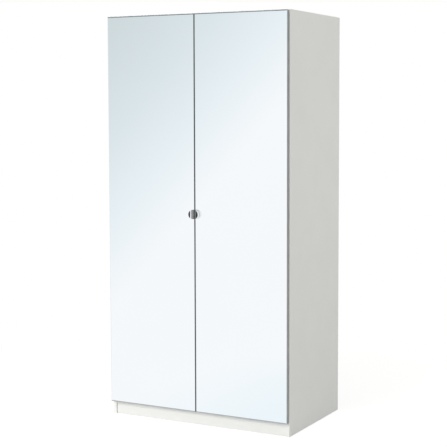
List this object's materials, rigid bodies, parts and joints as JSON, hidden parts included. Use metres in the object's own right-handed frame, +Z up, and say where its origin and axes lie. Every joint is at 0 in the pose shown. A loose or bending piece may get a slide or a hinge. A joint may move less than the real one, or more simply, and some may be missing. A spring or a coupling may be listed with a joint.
{
  "type": "two-door mirror wardrobe",
  "caption": "Free-standing wardrobe: panel carcass on a plinth with a hat shelf and clothes rail, closed by framed mirror doors with half-round knobs.",
  "frame": {"origin": "on the floor, at the middle of the whole footprint, knobs included", "axes": "+Z up, +X to the right seen from the front, doors facing -Y"},
  "size_m": [0.998, 0.62, 2.012],
  "materials": {
    "white_foil": "satin white foil on particleboard",
    "hardboard": "white lacquered hardboard",
    "white_plastic": "matt",
    "beech": "raw",
    "zinc_plated_steel": "bright zinc",
    "zinc_alloy": "die-cast",
    "foot_steel": "turned",
    "rail_chrome": "polished",
    "hinge_steel": "nickel-plated",
    "mirror_glass": "silvered float glass",
    "frame_aluminium": "satin anodised",
    "clear_bumper": "matt",
    "knob_satin_metal": "satin",
    "inlay_black": "matt",
    "foam_tape": "foam"
  },
  "bodies": {
    "carcass": {"side_panel_left": "white_foil", "side_panel_right": "white_foil", "top_panel": "white_foil", "bottom_panel": "white_foil", "plinth_front": "white_foil", "plinth_rear": "white_foil", "back_leaf_left": "hardboard", "back_leaf_right": "hardboard", "back_joint_strip": "white_plastic", "back_wedges": "white_plastic", "back_wedge_screws": "zinc_plated_steel", "cam_locks": "zinc_alloy", "cam_bolts": "zinc_plated_steel", "wood_dowels": "beech", "foot_sockets": "white_plastic", "foot_socket_screws": "zinc_plated_steel", "access_caps": "white_plastic", "wall_brackets": "zinc_plated_steel", "wall_bracket_screws": "zinc_plated_steel", "hat_shelf": "white_foil", "shelf_pins": "zinc_plated_steel", "clothes_rail": "rail_chrome", "rail_sockets": "zinc_alloy", "rail_socket_screws": "zinc_plated_steel", "hinge_plates": "hinge_steel", "hinge_plate_screws": "zinc_plated_steel", "hinge_arms": "hinge_steel", "hinge_arm_screws": "zinc_plated_steel"},
    "door_left": {"door_board_left": "white_foil", "mirror_left": "mirror_glass", "frame_stiles_left": "frame_aluminium", "frame_rails_left": "frame_aluminium", "hinge_cups_left": "hinge_steel", "hinge_pins_left": "foot_steel", "hinge_cup_screws_left": "zinc_plated_steel", "door_bumpers_left": "clear_bumper", "knob_left": "knob_satin_metal", "knob_inlay_left": "inlay_black", "knob_pad_left": "foam_tape"},
    "door_right": {"door_board_right": "white_foil", "mirror_right": "mirror_glass", "frame_stiles_right": "frame_aluminium", "frame_rails_right": "frame_aluminium", "hinge_cups_right": "hinge_steel", "hinge_pins_right": "foot_steel", "hinge_cup_screws_right": "zinc_plated_steel", "door_bumpers_right": "clear_bumper", "knob_right": "knob_satin_metal", "knob_inlay_right": "inlay_black", "knob_pad_right": "foam_tape"},
    "levelling_foot_front_left": {"foot_front_left": "foot_steel"},
    "levelling_foot_front_right": {"foot_front_right": "foot_steel"},
    "levelling_foot_rear_left": {"foot_rear_left": "foot_steel"},
    "levelling_foot_rear_right": {"foot_rear_right": "foot_steel"}
  },
  "joints": [
    {"name": "door_left_swing", "type": "hinge", "parent": "carcass", "child": "door_left", "pos_m": [-0.4893, -0.282, 1.038], "axis": [0, 0, 1], "range_deg": [-105, 0]},
    {"name": "door_right_swing", "type": "hinge", "parent": "carcass", "child": "door_right", "pos_m": [0.4893, -0.282, 1.038], "axis": [0, 0, 1], "range_deg": [0, 105]},
    {"name": "foot_front_left_height", "type": "slide", "parent": "carcass", "child": "levelling_foot_front_left", "axis": [0, 0, -1], "range_m": [0, 0.012]},
    {"name": "foot_front_right_height", "type": "slide", "parent": "carcass", "child": "levelling_foot_front_right", "axis": [0, 0, -1], "range_m": [0, 0.012]},
    {"name": "foot_rear_left_height", "type": "slide", "parent": "carcass", "child": "levelling_foot_rear_left", "axis": [0, 0, -1], "range_m": [0, 0.012]},
    {"name": "foot_rear_right_height", "type": "slide", "parent": "carcass", "child": "levelling_foot_rear_right", "axis": [0, 0, -1], "range_m": [0, 0.012]}
  ]
}
